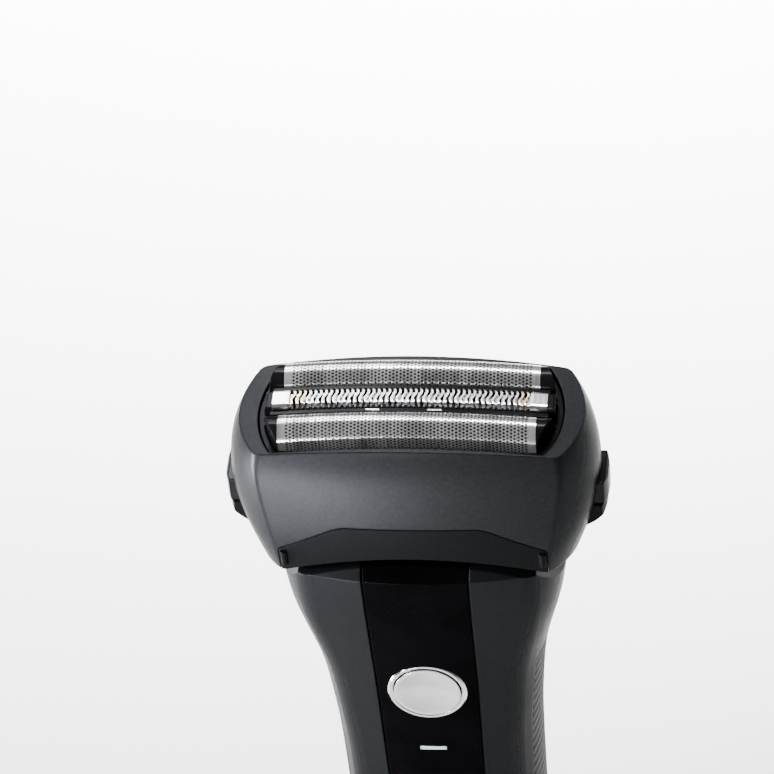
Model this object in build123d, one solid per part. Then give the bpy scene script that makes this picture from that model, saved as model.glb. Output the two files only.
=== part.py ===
"""Rechargeable three-element foil shaver, standing upright on its flat base.

Frame: millimetres, +Z up, front face towards -Y, origin at the centre of the flat base.
The head (foil cassette, cover, linear motor) sits on a two-axis gimbal in the neck of the handle.
"""
from build123d import *
import math
import os

os.makedirs("parts", exist_ok=True)

# ---------------------------------------------------------------- driving sizes
Z_TOP = 160.0          # top of the centre slit blade at mid length
FOIL_RISE = 1.0        # how far the two finishing foils stand above the centre blade
FOIL_R = 3.0           # outer radius of a finishing foil's arch
FOIL_T = 0.22          # foil sheet thickness
FOIL_PITCH = 6.5       # centre blade to finishing foil, along Y
FOIL_HALF = 23.0       # half length of a finishing foil
FOIL_ARC = 230.0       # lengthwise arc radius of the foils
FOIL_LEG = 3.4         # straight legs under the foil arch
SLIT_HALF = 24.6       # half length of the centre slit blade
SLIT_W = 4.5           # width of the centre slit blade
SLIT_ARC = 300.0
SLIT_PITCH = 0.95      # tooth pitch of the centre slit blade
FLOAT = 1.0            # vertical float of each cutting element
STROKE = 1.2           # half stroke of the blades
RIM_ARC = 190.0        # lengthwise arc of the cover's rim
RIM_Z = -2.3           # rim below Z_TOP at mid length
WALL_COVER = 1.5
SADDLE_R = 65.0        # arc of the underside of the head and the top of the neck
HEAD_UNDER = -25.6     # underside of the head at the middle, from Z_TOP
NECK_TOP = -29.0       # top of the neck at the middle, from Z_TOP
PIVOT_Z = Z_TOP - 31.0 # height of both gimbal axes
WALL = 2.0             # handle wall
PANEL_T = 1.1          # front panel thickness
GAP = 0.25             # visible gap between trim pieces
BUTTON_Z = 97.0        # power button height
BUTTON_R = 6.2
SWING_PIN_R = 1.5
TILT_PIN_R = 1.5
RUN = 0.05             # running clearance on the pins, radial

written = {}


def save(name, *shapes):
    solids = []
    for s in shapes:
        if isinstance(s, (list, tuple)):
            for q in s:
                solids += list(q.solids())
        else:
            solids += list(s.solids())
    solids = [s for s in solids if s.volume > 0.005]
    shape = solids[0] if len(solids) == 1 else Compound(children=solids)
    export_step(shape, f"parts/{name}.step")
    written[name] = (len(solids), round(sum(s.volume for s in solids), 1))
    return shape


def box(x0, x1, y0, y1, z0, z1):
    return Pos((x0 + x1) / 2, (y0 + y1) / 2, (z0 + z1) / 2) * Box(
        abs(x1 - x0), abs(y1 - y0), abs(z1 - z0))


def cyl_z(x, y, z0, z1, r):
    return Pos(x, y, (z0 + z1) / 2) * Cylinder(r, z1 - z0)


def cyl_y(x, z, y0, y1, r):
    return Pos(x, (y0 + y1) / 2, z) * Rot(90, 0, 0) * Cylinder(r, y1 - y0)


def cyl_x(y, z, x0, x1, r):
    return Pos((x0 + x1) / 2, y, z) * Rot(0, 90, 0) * Cylinder(r, x1 - x0)


def mirror_x(s):
    return s.mirror(Plane.YZ)


def mirror_y(s):
    return s.mirror(Plane.XZ)


def prism_y(pts, y0, y1, radii=None):
    """Polygon in X, Z swept along Y, its corners rounded by radii."""
    wire = FilletPolyline(*[(p[0], p[1]) for p in pts], radius=radii, close=True) if radii else Polyline(*[(p[0], p[1]) for p in pts], close=True)
    face = make_face(wire)
    pl = Plane(origin=(0, y0, 0), x_dir=(1, 0, 0), z_dir=(0, -1, 0))
    return extrude(pl * face, -(y1 - y0))


def prism_x(pts, x0, x1, radii=None):
    """Polygon in Y, Z swept along X."""
    wire = FilletPolyline(*[(p[0], p[1]) for p in pts], radius=radii, close=True) if radii else Polyline(*[(p[0], p[1]) for p in pts], close=True)
    face = make_face(wire)
    pl = Plane(origin=(x0, 0, 0), x_dir=(0, 1, 0), z_dir=(1, 0, 0))
    return extrude(pl * face, x1 - x0)


def prism_z(pts, z0, z1, radii=None):
    wire = FilletPolyline(*[(p[0], p[1]) for p in pts], radius=radii, close=True) if radii else Polyline(*[(p[0], p[1]) for p in pts], close=True)
    return extrude(Plane.XY.offset(z0) * make_face(wire), z1 - z0)


def section(z, xs, yf, yb, xc, ycf, ycb, r, ym=0.0, wide=0.0, off=0.0):
    """Closed four-arc outline at height z with rounded creases; wide adds to the back
    creases, off moves every side inward."""
    xs, yf, yb, xc, ycf, ycb = (v - off for v in (xs, yf, yb, xc, ycf, ycb))
    p1, p2, p3, p4 = (-xc, -ycf), (xc, -ycf), (xc + wide, ycb), (-xc - wide, ycb)
    w = [
        ThreePointArc(p1, (0, -yf), p2),
        ThreePointArc(p2, (xs, ym), p3),
        ThreePointArc(p3, (0, yb), p4),
        ThreePointArc(p4, (-xs, ym), p1),
    ]
    f = make_face(w)
    f = fillet(f.vertices(), max(r, 0.3))
    return Plane.XY.offset(z) * f


def loft_of(rows, off=0.0):
    return loft([section(*row[:8], ym=row[8] if len(row) > 8 else 0.0,
                         wide=row[9] if len(row) > 9 else 0.0, off=off) for row in rows])


# ---------------------------------------------------------------- head envelope
#        z(from top) side  front back  crease x  crease y front/back  radius
HEAD = [
    (Z_TOP - 1.0, 28.0, 11.9, 11.9, 25.6, 10.6, 10.6, 2.2, 1.5, 0.3),
    (Z_TOP - 4.0, 30.5, 12.6, 12.6, 26.9, 11.2, 11.2, 2.2, 1.5, 0.8),
    (Z_TOP - 8.0, 32.4, 13.9, 13.9, 27.2, 12.3, 12.3, 2.0, 1.5, 1.2),
    (Z_TOP - 13.0, 33.3, 15.0, 15.0, 26.7, 13.3, 13.3, 1.8, 1.5, 1.2),
    (Z_TOP - 18.0, 33.4, 15.8, 15.8, 25.9, 14.1, 14.1, 1.8, 1.5, 1.2),
    (Z_TOP - 24.0, 32.5, 16.3, 16.3, 24.9, 14.8, 14.8, 1.8, 1.0, 1.0),
    (Z_TOP - 29.0, 31.0, 16.3, 16.3, 24.1, 14.9, 14.9, 1.8, 0.5, 0.6),
    (Z_TOP - 35.0, 28.6, 15.6, 15.6, 23.0, 14.3, 14.3, 1.8, 0.0, 0.2),
]
head_env = loft_of(HEAD)


def head_at(dz_lo, dz_hi, off):
    """Envelope moved in by off, between two heights under Z_TOP."""
    return loft_of(HEAD, off=off) & box(-40, 40, -30, 30, Z_TOP + dz_lo, Z_TOP + dz_hi)


def saddle_above(z_mid):
    """Everything above the saddle line z = z_mid - x^2/(2*SADDLE_R)."""
    return box(-60, 60, -40, 40, z_mid - 60, z_mid + 60) - cyl_y(0, z_mid - SADDLE_R, -41, 41, SADDLE_R)


# cover envelope with its arched rim and saddle underside
rim_cut = cyl_y(0, Z_TOP + RIM_Z - RIM_ARC, -30, 30, RIM_ARC)
head_body = head_env & rim_cut
head_body = head_body & saddle_above(Z_TOP + HEAD_UNDER)

# ---------------------------------------------------------------- opening of the cover
OPEN_Y = 11.0


def opening(off, z0, z1):
    w = [
        Line((-24.4 + off, -OPEN_Y + off), (24.4 - off, -OPEN_Y + off)),
        ThreePointArc((24.4 - off, -OPEN_Y + off), (27.5 - off, 0.4), (24.2 - off, OPEN_Y - off)),
        Line((24.2 - off, OPEN_Y - off), (-24.2 + off, OPEN_Y - off)),
        ThreePointArc((-24.2 + off, OPEN_Y - off), (-27.5 + off, 0.4), (-24.4 + off, -OPEN_Y + off)),
    ]
    f = fillet(make_face(w).vertices(), 0.9)
    return extrude(Plane.XY.offset(z0) * f, z1 - z0)


# seam profile: the lower shell shows as a raised trapezoid in the front and back
SEAM = [(-24.2, -50), (-24.2, -24.6), (-12.8, -18.5), (12.8, -18.5), (24.2, -24.6), (24.2, -50)]


def seam_prism(grow):
    pts = [(x + math.copysign(grow, x), z + (grow if z > -45 else 0)) for x, z in SEAM]
    pts = [(x, Z_TOP + z) for x, z in pts]
    return prism_y(pts, -30, 30, [0.4, 1.2, 7.0, 7.0, 1.2, 0.4])


SLOT_Y = 4.5           # half width of the side slot for the release button
SLOT_TOP = -17.6
LUG_TOP = -23.6

cover = head_body - head_at(-40, -6.5, WALL_COVER)
cover = cover - opening(0.0, Z_TOP - 9.0, Z_TOP + 3.0)
cover = cover - seam_prism(0.12)
for sx in (-1, 1):
    slot = prism_x([(-SLOT_Y, Z_TOP - 40), (SLOT_Y, Z_TOP - 40), (SLOT_Y, Z_TOP + SLOT_TOP), (-SLOT_Y, Z_TOP + SLOT_TOP)],
                   28.0 if sx > 0 else -37, 37 if sx > 0 else -28.0)
    cover = cover - slot
cover = max(cover.solids(), key=lambda s: s.volume)
save("head_cover", cover)

# corner feet of the cover, beside the seam
feet = []
for sx in (-1, 1):
    for sy in (-1, 1):
        feet.append(Pos(sx * 23.35, sy * 15.05, Z_TOP - 26.6) * Cylinder(0.62, 3.2))
# (fused to the lower shell below)

# ---------------------------------------------------------------- lower shell of the head
def lift_clear(off):
    """Upright column inside the cover's lowest inner outline, so the cover lifts straight off."""
    return extrude(section(Z_TOP - 45, 29.75, 15.9, 15.9, 23.4, 14.5, 14.5, 1.8, off=off), 45)


tub_out = head_at(-40, -14.6, WALL_COVER + 0.25) & lift_clear(WALL_COVER + 0.25)
lower = (head_env & seam_prism(0.0) & box(-40, 40, -30, 30, Z_TOP - 40, Z_TOP - 15)) + tub_out
for sx in (-1, 1):
    fill = head_env & box(min(sx * 25, sx * 36), max(sx * 25, sx * 36), -SLOT_Y + 0.2, SLOT_Y - 0.2, Z_TOP - 40, Z_TOP + LUG_TOP)
    lower = lower + fill
    lug_pts = [(sx * 30.0, LUG_TOP), (sx * 34.2, LUG_TOP), (sx * 34.6, LUG_TOP - 0.8), (sx * 34.3, LUG_TOP - 2.0), (sx * 33.0, LUG_TOP - 3.6), (sx * 30.6, LUG_TOP - 5.2), (sx * 29.6, LUG_TOP - 5.2)]
    lug = prism_y([(x, Z_TOP + z) for x, z in lug_pts], -SLOT_Y + 0.2, SLOT_Y - 0.2)
    try:
        lug = fillet([e for e in lug.edges() if abs(e.center().X) > 32.0], 0.55)
    except Exception as e:
        print("lug fillet", e)
    lug = lug & cyl_z(sx * 23.3, 0.6, Z_TOP - 40, Z_TOP - 20, 11.3)
    lower = lower + lug
lower = lower & (saddle_above(Z_TOP + HEAD_UNDER) )
cav = loft_of(HEAD, off=WALL_COVER + 0.25 + 1.3) & box(-40, 40, -30, 30, Z_TOP - 40, Z_TOP + 5)
cav = cav & saddle_above(Z_TOP + HEAD_UNDER + 1.5) & lift_clear(WALL_COVER + 0.25 + 1.3)
lower = lower - cav
# windows in the tub's sides for the release buttons
for sx in (-1, 1):
    lower = lower - box(min(sx * 24, sx * 40), max(sx * 24, sx * 40), -SLOT_Y + 0.2 - 0.4, SLOT_Y - 0.2 + 0.4, Z_TOP + LUG_TOP, Z_TOP - 10)
# cable and gimbal hole
lower = lower - cyl_z(0, 0, Z_TOP - 40, Z_TOP - 20, 3.2)
lower = max(lower.solids(), key=lambda s: s.volume)
lower_plain = lower
for f in feet:
    lower = lower + (f & box(-40, 40, -30, 30, Z_TOP - 28.2, Z_TOP - 25.0))
save("head_base", lower)

# bosses for the deck screws are added to the lower shell further down; the node is rewritten there
# ---------------------------------------------------------------- release buttons
BTN_Y = 4.1            # half width
BTN_TOP = -18.0
BTN_LOW = -23.3
for name, sx in (("release_button_left", -1), ("release_button_right", 1)):
    pts = [(29.6, BTN_LOW), (34.6, BTN_LOW), (34.9, BTN_LOW + 0.6), (34.9, -20.2), (34.7, -18.8), (34.2, BTN_TOP), (29.6, BTN_TOP)]
    pad = prism_y([(sx * x, Z_TOP + z) for x, z in pts], -BTN_Y, BTN_Y)
    pad = pad & cyl_z(sx * 23.2, 0.6, Z_TOP - 40, Z_TOP - 10, 11.7)
    for rr in (0.7, 0.5, 0.3):
        try:
            pad = fillet([e for e in pad.edges() if abs(e.center().X) > 33.0 and abs(e.center().Y) > 3.0], rr)
            break
        except Exception as e:
            print("button fillet", rr)
    stem = box(min(sx * 25.3, sx * 30.4), max(sx * 25.3, sx * 30.4), -3.4, 3.4, Z_TOP - 22.8, Z_TOP - 18.6)
    flange = box(min(sx * 24.5, sx * 25.4), max(sx * 24.5, sx * 25.4), -5.2, 5.2, Z_TOP - 22.8, Z_TOP - 18.2)
    save(name, pad + stem + flange)

# ---------------------------------------------------------------- cassette frame (carries the foils)
FR_LOW, FR_TOP = -12.2, -4.7
frame = opening(0.3, Z_TOP + FR_LOW, Z_TOP + FR_TOP)
frame = frame + head_at(FR_LOW, FR_LOW + 1.0, WALL_COVER + 0.01)
bars = box(-24.9, 24.9, -3.35, 3.35, Z_TOP + FR_LOW, Z_TOP) & cyl_y(0, Z_TOP - 0.85 - 260, -5, 5, 260)
frame = frame + bars
for sy in (-1, 1):
    pocket = opening(1.1, Z_TOP - 13, Z_TOP) & box(-30, 30, min(sy * 3.35, sy * 9.65), max(sy * 3.35, sy * 9.65), Z_TOP - 13, Z_TOP)
    frame = frame - pocket
frame = frame - box(-26.2, 26.2, -2.42, 2.42, Z_TOP - 13, Z_TOP + 1)
frame = max(frame.solids(), key=lambda q: q.volume)
# two small bright retaining clips on the band in front of the centre blade
clips = []
for x0, x1 in ((-7.6, -5.2), (3.4, 6.0)):
    clips.append(box(x0, x1, -3.2, -2.85, Z_TOP - 1.9, Z_TOP - 0.68))
for c in clips:
    frame = frame - c
save("cassette_frame", frame)
save("cassette_clips", clips)


# ---------------------------------------------------------------- arched sheets
def arc_sweep(face, z_axis, half_deg=8.0):
    """Profile in Y, Z at X=0 swept along a circular arc in X, Z."""
    ax = Axis((0, 0, z_axis), (0, 1, 0))
    body = revolve(Plane.YZ * face, ax, revolution_arc=2 * half_deg)
    a = body.rotate(ax, -half_deg)
    if abs(a.bounding_box().center().X) > 3:
        a = body.rotate(ax, half_deg)
    return a


def arch_face(yc, zc, r_out, t, leg):
    outer = [ThreePointArc((yc - r_out, zc), (yc, zc + r_out), (yc + r_out, zc))]
    w = outer + [Line((yc + r_out, zc), (yc + r_out, zc - leg)), Line((yc + r_out, zc - leg), (yc + r_out - t, zc - leg)),
                 Line((yc + r_out - t, zc - leg), (yc + r_out - t, zc)),
                 ThreePointArc((yc + r_out - t, zc), (yc, zc + r_out - t), (yc - r_out + t, zc)),
                 Line((yc - r_out + t, zc), (yc - r_out + t, zc - leg)), Line((yc - r_out + t, zc - leg), (yc - r_out, zc - leg)),
                 Line((yc - r_out, zc - leg), (yc - r_out, zc))]
    return make_face(w)


FOIL_TOP = Z_TOP + FOIL_RISE
FOIL_ZC = FOIL_TOP - FOIL_R
FOIL_DROP = FOIL_HALF ** 2 / (2 * FOIL_ARC)
BLADE_GAP = 0.3        # under the foil
BLADE_R = FOIL_R - FOIL_T - BLADE_GAP
BLADE_T = 0.3
BLADE_HALF = 21.2
for tag, yc in (("front", -FOIL_PITCH), ("rear", FOIL_PITCH)):
    sheet = arc_sweep(arch_face(yc, FOIL_ZC, FOIL_R, FOIL_T, FOIL_LEG), FOIL_TOP - FOIL_ARC)
    sheet = sheet & box(-FOIL_HALF, FOIL_HALF, -30, 30, Z_TOP - 30, Z_TOP + 30)
    save(f"{tag}_foil", sheet)
    hold = []
    for sx in (-1, 1):
        h = cyl_x(yc, FOIL_ZC - FOIL_DROP - 0.15, sx * 23.0 if sx > 0 else -26.6, 26.6 if sx > 0 else -23.0, FOIL_R)
        h = h + box(sx * 23.0 if sx > 0 else -26.6, 26.6 if sx > 0 else -23.0, yc - FOIL_R, yc + FOIL_R, Z_TOP - 9.2, FOIL_ZC - FOIL_DROP - 0.15)
        h = h & opening(1.3, Z_TOP - 12, Z_TOP + 3)
        try:
            h = fillet([e for e in h.edges() if abs(e.center().X) > 24.0 and e.center().Z > Z_TOP - 6], 0.5)
        except Exception as e:
            print("holder fillet", e)
        hold.append(h)
    save(f"{tag}_foil_holders", hold)
    blade = arc_sweep(arch_face(yc, FOIL_ZC, BLADE_R, BLADE_T, 1.5), FOIL_TOP - FOIL_ARC)
    blade = blade & box(-BLADE_HALF, BLADE_HALF, -30, 30, Z_TOP - 30, Z_TOP + 30)
    slots = []
    x = -19.6
    while x < 19.7:
        slots.append(box(x - 0.35, x + 0.35, yc - 4, yc + 4, FOIL_ZC - 1.1, FOIL_TOP + 1))
        x += 1.4
    blade = blade - Compound(children=slots)
    blade = max(blade.solids(), key=lambda q: q.volume)
    save(f"{tag}_inner_blade", blade)
    inner_r = BLADE_R - BLADE_T
    core = box(-20.4, 20.4, yc - inner_r, yc + inner_r, Z_TOP - 8.2, FOIL_ZC - 2.3)
    core = core & box(-40, 40, -30, 30, Z_TOP - 30, Z_TOP)
    boss = cyl_z(0, yc, Z_TOP - 11.0, Z_TOP - 8.0, 2.0)
    core = core + boss - cyl_z(0, yc, Z_TOP - 12, Z_TOP - 6.2, 1.0)
    save(f"{tag}_blade_carrier", core)

# ---------------------------------------------------------------- centre slit blade
def channel_face(zt, half_w, t, leg, r):
    o = [(-half_w, zt - leg), (-half_w, zt - 0.0), (half_w, zt - 0.0), (half_w, zt - leg)]
    outer = make_face(Polyline(*o, close=True))
    outer = fillet([v for v in outer.vertices() if v.Y > zt - 0.5], r)
    i = [(-half_w + t, zt - leg - 1), (-half_w + t, zt - t), (half_w - t, zt - t), (half_w - t, zt - leg - 1)]
    inner = make_face(Polyline(*i, close=True))
    inner = fillet([v for v in inner.vertices() if v.Y > zt - t - 0.5], max(r - t, 0.15))
    return outer - inner


SLIT_T = 0.3
SLIT_LEG = 4.2
slit = arc_sweep(channel_face(Z_TOP, SLIT_W / 2, SLIT_T, SLIT_LEG, 0.95), Z_TOP - SLIT_ARC)
slit = slit & box(-SLIT_HALF, SLIT_HALF, -30, 30, Z_TOP - 30, Z_TOP + 30)
cuts = []
N_SLIT = 46
for k in range(N_SLIT):
    x = (k - (N_SLIT - 1) / 2) * SLIT_PITCH
    cuts.append(box(x - 0.24, x + 0.24, -4, 4, Z_TOP - 1.9, Z_TOP + 1))
slit = slit - Compound(children=cuts)
slit = max(slit.solids(), key=lambda q: q.volume)
save("slit_blade", slit)
hold = []
for sx in (-1, 1):
    h = box(sx * SLIT_HALF if sx > 0 else -26.0, 26.0 if sx > 0 else -SLIT_HALF, -2.2, 2.2, Z_TOP - 8.6, Z_TOP - 1.5)
    try:
        h = fillet([e for e in h.edges() if e.center().Z > Z_TOP - 1.6 and abs(e.center().X) > 24.7], 0.5)
    except Exception as e:
        print("centre holder fillet", e)
    hold.append(h)
save("slit_blade_holders", hold)
CIN = SLIT_W / 2 - SLIT_T - BLADE_GAP
CB_TOP = Z_TOP - SLIT_T - BLADE_GAP
cb = arc_sweep(channel_face(CB_TOP, CIN, 0.3, 3.0, 0.6), CB_TOP - SLIT_ARC)
cb = cb & box(-BLADE_HALF - 0.6, BLADE_HALF + 0.6, -30, 30, Z_TOP - 30, Z_TOP + 30)
slots = []
x = -20.7
while x < 20.8:
    slots.append(box(x - 0.3, x + 0.3, -4, 4, CB_TOP - 2.2, CB_TOP + 1))
    x += 1.15
cb = cb - Compound(children=slots)
cb = max(cb.solids(), key=lambda q: q.volume)
save("centre_inner_blade", cb)
ccore = box(-20.4, 20.4, -CIN + 0.3, CIN - 0.3, Z_TOP - 8.2, CB_TOP - 2.9)
ccore = ccore + cyl_z(0, 0, Z_TOP - 11.0, Z_TOP - 8.0, 2.0) - cyl_z(0, 0, Z_TOP - 12, Z_TOP - 6.2, 1.0)
save("centre_blade_carrier", ccore)

# ---------------------------------------------------------------- drive inside the head
DECK_LOW, DECK_TOP = -15.6, -14.4
deck = head_at(DECK_LOW, DECK_TOP, WALL_COVER + 0.25 + 1.3 + 0.02) & lift_clear(WALL_COVER + 0.25 + 1.3 + 0.02)
PIN_R = 0.9
slot_cut = []
for yc in (-FOIL_PITCH, 0.0, FOIL_PITCH):
    slot_cut.append(box(-2.4, 2.4, yc - 1.25, yc + 1.25, Z_TOP - 17, Z_TOP - 13))
BOSS = [(sx * 19.0, sy * 9.2) for sx in (-1, 1) for sy in (-1, 1)]
deck = deck - Compound(children=slot_cut)
for bx, by in BOSS:
    deck = deck - cyl_z(bx, by, Z_TOP - 17, Z_TOP - 13, 0.8)
save("drive_deck", deck)
seals = []
for yc in (-FOIL_PITCH, 0.0, FOIL_PITCH):
    seals.append(box(-3.2, 3.2, yc - 2.0, yc + 2.0, Z_TOP + DECK_TOP, Z_TOP + DECK_TOP + 0.7)
                 - box(-2.4, 2.4, yc - 1.25, yc + 1.25, Z_TOP - 17, Z_TOP - 13))
save("drive_seals", seals)
screws = []
for bx, by in BOSS:
    head = cyl_z(bx, by, Z_TOP + DECK_TOP, Z_TOP + DECK_TOP + 0.7, 1.4)
    head = head - box(bx - 1.0, bx + 1.0, by - 0.18, by + 0.18, Z_TOP + DECK_TOP + 0.3, Z_TOP) - box(bx - 0.18, bx + 0.18, by - 1.0, by + 1.0, Z_TOP + DECK_TOP + 0.3, Z_TOP)
    screws.append(head + cyl_z(bx, by, Z_TOP - 20.0, Z_TOP + DECK_TOP, 0.7))
save("deck_screws", screws)
# bosses in the lower shell
cav_floor = loft_of(HEAD, off=WALL_COVER + 0.1) & saddle_above(Z_TOP + HEAD_UNDER + 0.2)
for bx, by in BOSS:
    b = cyl_z(bx, by, Z_TOP - 30, Z_TOP + DECK_LOW, 1.7) & cav_floor
    lower = lower + b - cyl_z(bx, by, Z_TOP - 20.0, Z_TOP - 15, 0.7)
save("head_base", lower)

MV_LOW, MV_TOP = -17.8, -16.3
mo = box(-15.5, 15.5, -8.6, 8.6, Z_TOP + MV_LOW, Z_TOP + MV_TOP) - box(-12.5, 12.5, -4.4, 4.4, Z_TOP - 20, Z_TOP - 15)
for yc in (-FOIL_PITCH, FOIL_PITCH):
    mo = mo + cyl_z(0, yc, Z_TOP + MV_TOP - 0.5, Z_TOP - 7.5, PIN_R)
save("outer_mover", mo)
mi = box(-9.5, 9.5, -4.0, 4.0, Z_TOP + MV_LOW, Z_TOP + MV_TOP) + cyl_z(0, 0, Z_TOP + MV_TOP - 0.5, Z_TOP - 7.5, PIN_R)
save("inner_mover", mi)
MG_LOW = -19.2
save("outer_magnets", [box(min(sx * 3, sx * 9), max(sx * 3, sx * 9), min(sy * 5, sy * 8), max(sy * 5, sy * 8), Z_TOP + MG_LOW, Z_TOP + MV_LOW)
                       for sx in (-1, 1) for sy in (-1, 1)])
save("inner_magnets", [box(min(sx * 1.5, sx * 8), max(sx * 1.5, sx * 8), -3.2, 3.2, Z_TOP + MG_LOW, Z_TOP + MV_LOW) for sx in (-1, 1)])
POSTS = (-8.5, 0.0, 8.5)
stator = box(-14, 14, -8, 8, Z_TOP - 23.95, Z_TOP - 22.9)
coils = []
for px in POSTS:
    stator = stator + box(px - 1.1, px + 1.1, -6.6, 6.6, Z_TOP - 23, Z_TOP - 19.8)
    outer = box(px - 3.1, px + 3.1, -8.4, 8.4, Z_TOP - 22.9, Z_TOP - 20.2)
    outer = fillet(outer.edges().filter_by(Axis.Z), 1.4)
    coils.append(outer - box(px - 1.15, px + 1.15, -6.65, 6.65, Z_TOP - 24, Z_TOP - 19))
stator = stator - cyl_z(0, 0, Z_TOP - 25, Z_TOP - 22, 0.9)
save("motor_stator", stator)
save("motor_coils", coils)

# ---------------------------------------------------------------- two-axis gimbal
Y_RING, Y_HOLE, Y_H = 7.6, 4.6, 2.1
yoke = cyl_z(0, 0, PIVOT_Z - Y_H, PIVOT_Z + Y_H, Y_RING) - cyl_z(0, 0, PIVOT_Z - 5, PIVOT_Z + 5, Y_HOLE)
yoke = yoke - cyl_y(0, PIVOT_Z, -9, 9, SWING_PIN_R + RUN) - cyl_x(0, PIVOT_Z, -9, 9, TILT_PIN_R + RUN)
for s in (-1, 1):
    yoke = yoke - box(-9, 9, min(s * 7.3, s * 9), max(s * 7.3, s * 9), PIVOT_Z - 5, PIVOT_Z + 5)
    yoke = yoke - box(min(s * 7.3, s * 9), max(s * 7.3, s * 9), -9, 9, PIVOT_Z - 5, PIVOT_Z + 5)
save("swing_yoke", yoke)
save("swing_pins", [cyl_y(0, PIVOT_Z, min(s * 5.2, s * 9.8), max(s * 5.2, s * 9.8), SWING_PIN_R) for s in (-1, 1)])
save("tilt_pins", [cyl_x(0, PIVOT_Z, min(s * 5.2, s * 9.8), max(s * 5.2, s * 9.8), TILT_PIN_R) for s in (-1, 1)])
head_under = cyl_y(0, Z_TOP + HEAD_UNDER - SADDLE_R, -40, 40, SADDLE_R)
bracket = box(-10.4, 10.4, -4.4, 4.4, 132.5, 136) & head_under
for s in (-1, 1):
    ear = box(min(s * 7.9, s * 9.8), max(s * 7.9, s * 9.8), -2.4, 2.4, PIVOT_Z, 133) + cyl_x(0, PIVOT_Z, min(s * 7.9, s * 9.8), max(s * 7.9, s * 9.8), 2.4)
    bracket = bracket + ear
bracket = bracket - cyl_x(0, PIVOT_Z, -12, 12, TILT_PIN_R) - cyl_z(0, 0, 130, 137, 3.2)
save("tilt_bracket", bracket)

# ---------------------------------------------------------------- handle envelope
#       z  side  front back  corner x  front y back y  radius
HANDLE_KEYS = [
    (0.0, 15.2, 12.0, 12.4, 11.6, 9.6, 10.0, 4.5),
    (12.0, 16.6, 13.3, 13.8, 12.8, 10.8, 11.1, 5.0),
    (40.0, 18.8, 14.9, 15.5, 14.8, 12.2, 12.7, 5.5),
    (75.0, 19.5, 15.0, 16.0, 15.4, 12.4, 13.2, 5.5),
    (95.0, 21.2, 15.1, 16.0, 16.7, 12.5, 13.2, 5.5),
    (103.0, 22.8, 15.5, 16.1, 18.0, 12.8, 13.4, 5.5),
    (111.0, 24.9, 16.2, 16.3, 19.7, 13.4, 13.6, 5.5),
    (118.0, 26.0, 16.8, 16.5, 20.7, 13.9, 13.8, 5.5),
    (126.0, 26.4, 17.1, 16.7, 20.9, 14.2, 14.0, 5.5),
    (136.0, 26.2, 17.1, 16.7, 20.7, 14.2, 14.0, 5.5),
]


def smooth_rows(keys, zs):
    """Monotone cubic interpolation of the key sections, so the loft has no waves."""
    out = []
    n = len(keys)
    for z in zs:
        k = max(i for i in range(n - 1) if keys[i][0] <= z + 1e-9)
        z0, z1 = keys[k][0], keys[k + 1][0]
        h = z1 - z0
        t = (z - z0) / h
        row = [z]
        for c in range(1, 8):
            def slope(i):
                if i <= 0 or i >= n - 1:
                    a = 0 if i <= 0 else n - 2
                    return (keys[a + 1][c] - keys[a][c]) / (keys[a + 1][0] - keys[a][0])
                a = (keys[i][c] - keys[i - 1][c]) / (keys[i][0] - keys[i - 1][0])
                b = (keys[i + 1][c] - keys[i][c]) / (keys[i + 1][0] - keys[i][0])
                return 0.0 if a * b <= 0 else 2 * a * b / (a + b)
            m0, m1 = slope(k), slope(k + 1)
            p0, p1 = keys[k][c], keys[k + 1][c]
            row.append((2 * t ** 3 - 3 * t ** 2 + 1) * p0 + (t ** 3 - 2 * t ** 2 + t) * h * m0
                       + (-2 * t ** 3 + 3 * t ** 2) * p1 + (t ** 3 - t ** 2) * h * m1)
        out.append(tuple(row))
    return out


HANDLE = smooth_rows(HANDLE_KEYS, [0, 9, 18, 28, 40, 52, 64, 76, 87, 96, 104, 112, 120, 128, 136])
SADDLE_Z = Z_TOP + NECK_TOP
FACET_Y = 14.7
_env = {}


def saddle_face(off):
    """Region under the neck's saddle line in X, Z."""
    rad = SADDLE_R - off
    zc = SADDLE_Z - SADDLE_R
    xe = 45.0
    ze = zc + math.sqrt(rad * rad - xe * xe)
    return make_face([ThreePointArc((-xe, ze), (0, zc + rad), (xe, ze)), Line((xe, ze), (xe, -30)), Line((xe, -30), (-xe, -30)), Line((-xe, -30), (-xe, ze))])


def env(off):
    """Handle envelope moved in by off, with its saddle top and the 45 degree facet round it."""
    key = round(off, 3)
    if key in _env:
        return _env[key]
    body = loft_of(HANDLE, off=off)
    f = saddle_face(off)
    ys = FACET_Y - 0.414 * off
    mid = extrude(Plane(origin=(0, -ys, 0), x_dir=(1, 0, 0), z_dir=(0, -1, 0)) * f, -2 * ys)
    front = extrude(Plane(origin=(0, -ys, 0), x_dir=(1, 0, 0), z_dir=(0, -1, 0)) * f, 12, dir=(0, -1, -1))
    back = extrude(Plane(origin=(0, ys, 0), x_dir=(1, 0, 0), z_dir=(0, -1, 0)) * f, 12, dir=(0, 1, -1))
    body = body & (mid + front + back)
    # steeper facets on the two sides, two down for one out
    c = Z_TOP - 32.6 + 2.0 * 21.6 - off * 2.236
    body = body & prism_y([(0, c), (60, c - 120), (60, -60), (-60, -60), (-60, c - 120)], -40, 40)
    body = max(body.solids(), key=lambda q: q.volume)
    _env[key] = body
    return body


outer = env(0.0)
SPLIT_Y = 1.0
CAP_Z = 8.0
shell = outer - (env(WALL) & box(-60, 60, -40, 40, 4, 200))
shell = shell & box(-60, 60, -40, 40, CAP_Z + 0.2, 200)
WELL_R = 12.0
shell = shell - cyl_z(0, 0, 118, 140, WELL_R)


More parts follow.
